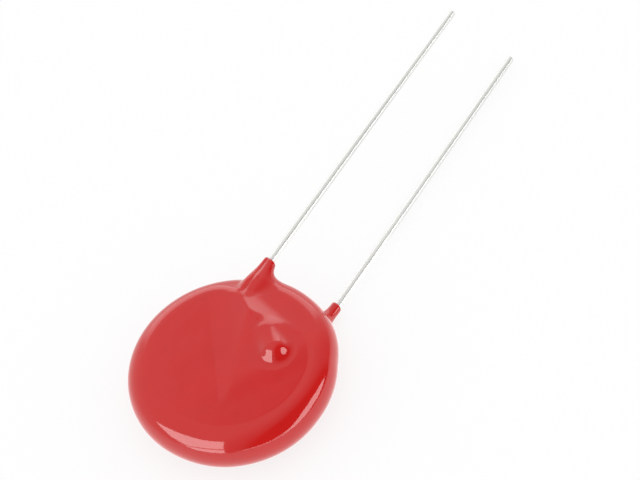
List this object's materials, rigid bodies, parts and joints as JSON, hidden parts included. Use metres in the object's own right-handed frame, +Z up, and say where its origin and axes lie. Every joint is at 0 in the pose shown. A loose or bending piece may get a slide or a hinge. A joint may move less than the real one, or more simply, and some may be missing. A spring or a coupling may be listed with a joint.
{
  "type": "thermally protected varistor",
  "caption": "Dip-coated ceramic disc varistor with a thermal link crossing its front face and straight tinned wire leads for a circuit board.",
  "frame": {"origin": "middle of the footprint on the surface it lies on, back face down", "axes": "+Y along the leads towards their tips, +Z up out of the front face, which carries the thermal link"},
  "size_m": [0.022, 0.063, 0.0077],
  "materials": {
    "red_epoxy": "gloss",
    "zinc_oxide": "matt sintered ceramic",
    "fired_silver": "satin",
    "alumina": "matt ceramic",
    "adhesive": "satin",
    "fusible_alloy": "satin",
    "hot_melt": "waxy",
    "solder": "satin",
    "tinned_copper": "bright tinned"
  },
  "bodies": {
    "root": {"coating": "red_epoxy", "varistor_disc": "zinc_oxide", "front_electrode": "fired_silver", "rear_electrode": "fired_silver", "ceramic_wafer": "alumina", "wafer_adhesive": "adhesive", "thermal_link": "fusible_alloy", "link_cover": "hot_melt", "lead_joint": "solder", "link_joint": "solder", "rear_joint": "solder", "front_lead": "tinned_copper", "rear_lead": "tinned_copper"}
  },
  "joints": []
}
